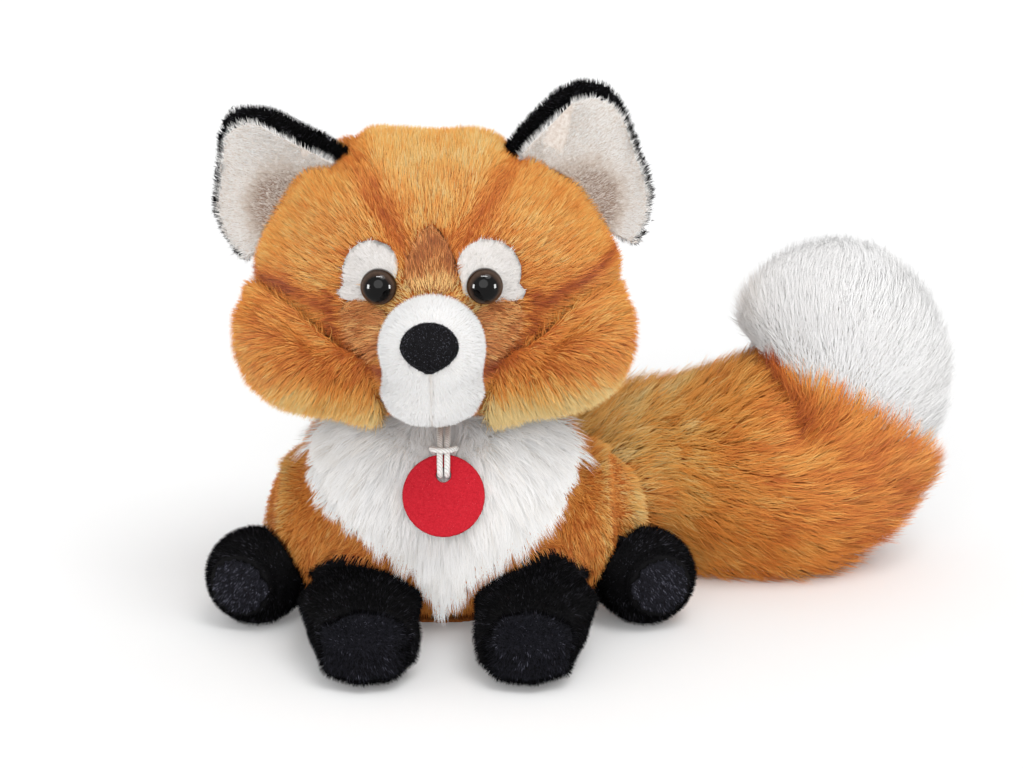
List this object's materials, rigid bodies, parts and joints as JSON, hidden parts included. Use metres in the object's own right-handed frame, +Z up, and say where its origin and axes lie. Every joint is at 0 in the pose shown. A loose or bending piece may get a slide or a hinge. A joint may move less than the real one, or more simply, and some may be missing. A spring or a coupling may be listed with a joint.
{
  "type": "plush fox",
  "caption": "Seated plush fox with a large curled tail, a long-haired chest bib and a round tag on a cord; stuffed body, turning head, folding ears and movable legs.",
  "frame": {"origin": "middle of the seat panel's flat underside, on the surface that the fox sits on", "axes": "+Z up, -Y the way the fox faces, so +X is the fox's own left and the side that the tail lies on"},
  "size_m": [0.2752, 0.1842, 0.1984],
  "materials": {
    "orange_plush": "matte",
    "cheek_plush": "matte",
    "brown_plush": "matte",
    "pale_plush": "matte",
    "white_plush": "matte",
    "white_velour": "matte",
    "black_plush": "matte",
    "black_velour": "matte",
    "black_fleece": "matte",
    "seat_cloth": "matte",
    "pellet_bag_cloth": "matte",
    "eye_plastic": "gloss",
    "washer_plastic": "satin",
    "red_felt": "matte",
    "white_cord": "matte"
  },
  "bodies": {
    "torso": {"torso": "orange_plush", "seat_panel": "seat_cloth", "pellet_bag": "pellet_bag_cloth", "chest_bib": "white_plush", "haunch_left": "orange_plush", "haunch_right": "orange_plush"},
    "head": {"head": "orange_plush", "cheek_left": "cheek_plush", "cheek_right": "cheek_plush", "muzzle": "white_velour", "nose": "black_fleece", "eye_left": "eye_plastic", "eye_right": "eye_plastic", "eye_washer_left": "washer_plastic", "eye_washer_right": "washer_plastic", "eye_patch_left": "pale_plush", "eye_patch_right": "pale_plush", "tear_patch_left": "brown_plush", "tear_patch_right": "brown_plush", "blaze_patch": "brown_plush"},
    "ear_left": {"ear_back_left": "black_plush", "ear_lining_left": "white_plush"},
    "ear_right": {"ear_back_right": "black_plush", "ear_lining_right": "white_plush"},
    "front_leg_left": {"front_leg_left": "black_plush", "front_sole_left": "black_velour"},
    "front_leg_right": {"front_leg_right": "black_plush", "front_sole_right": "black_velour"},
    "hind_foot_left": {"hind_foot_left": "black_plush", "hind_sole_left": "black_velour"},
    "hind_foot_right": {"hind_foot_right": "black_plush", "hind_sole_right": "black_velour"},
    "tail": {"tail": "orange_plush", "tail_tip": "white_plush"},
    "tag": {"tag_disc": "red_felt", "tag_cord": "white_cord"}
  },
  "joints": [
    {"name": "head_turn", "type": "hinge", "parent": "torso", "child": "head", "pos_m": [-0.0018, -0.008, 0.082], "axis": [0, 0, 1], "range_deg": [-20, 20], "stiffness_Nm_per_rad": 0.1},
    {"name": "ear_fold_left", "type": "hinge", "parent": "head", "child": "ear_left", "pos_m": [0.04841, -0.008, 0.15305], "axis": [-0.7185, -0.3401, 0.6067], "range_deg": [-15, 15], "stiffness_Nm_per_rad": 0.02},
    {"name": "ear_fold_right", "type": "hinge", "parent": "head", "child": "ear_right", "pos_m": [-0.05277, -0.008, 0.1512], "axis": [0.5895, -0.3401, 0.7326], "range_deg": [-15, 15], "stiffness_Nm_per_rad": 0.02},
    {"name": "front_leg_lift_left", "type": "hinge", "parent": "torso", "child": "front_leg_left", "pos_m": [0.034, -0.03, 0.0162], "axis": [-1, 0, 0], "range_deg": [0, 14], "stiffness_Nm_per_rad": 0.1},
    {"name": "front_leg_lift_right", "type": "hinge", "parent": "torso", "child": "front_leg_right", "pos_m": [-0.028, -0.03, 0.0162], "axis": [-1, 0, 0], "range_deg": [0, 14], "stiffness_Nm_per_rad": 0.1},
    {"name": "hind_foot_turn_left", "type": "hinge", "parent": "torso", "child": "hind_foot_left", "pos_m": [0.0618, -0.016, 0.017], "axis": [0, 0, 1], "range_deg": [-10, 10], "stiffness_Nm_per_rad": 0.05},
    {"name": "hind_foot_turn_right", "type": "hinge", "parent": "torso", "child": "hind_foot_right", "pos_m": [-0.0552, -0.016, 0.017], "axis": [0, 0, 1], "range_deg": [-10, 10], "stiffness_Nm_per_rad": 0.05},
    {"name": "tail_swing", "type": "hinge", "parent": "torso", "child": "tail", "pos_m": [0.026, 0.043, 0.03], "axis": [0, 0, 1], "range_deg": [0, 22], "stiffness_Nm_per_rad": 0.1},
    {"name": "tag_swing", "type": "hinge", "parent": "torso", "child": "tag", "pos_m": [0.0016, -0.04024, 0.07931], "axis": [-1, 0, 0], "range_deg": [0, 16]}
  ]
}
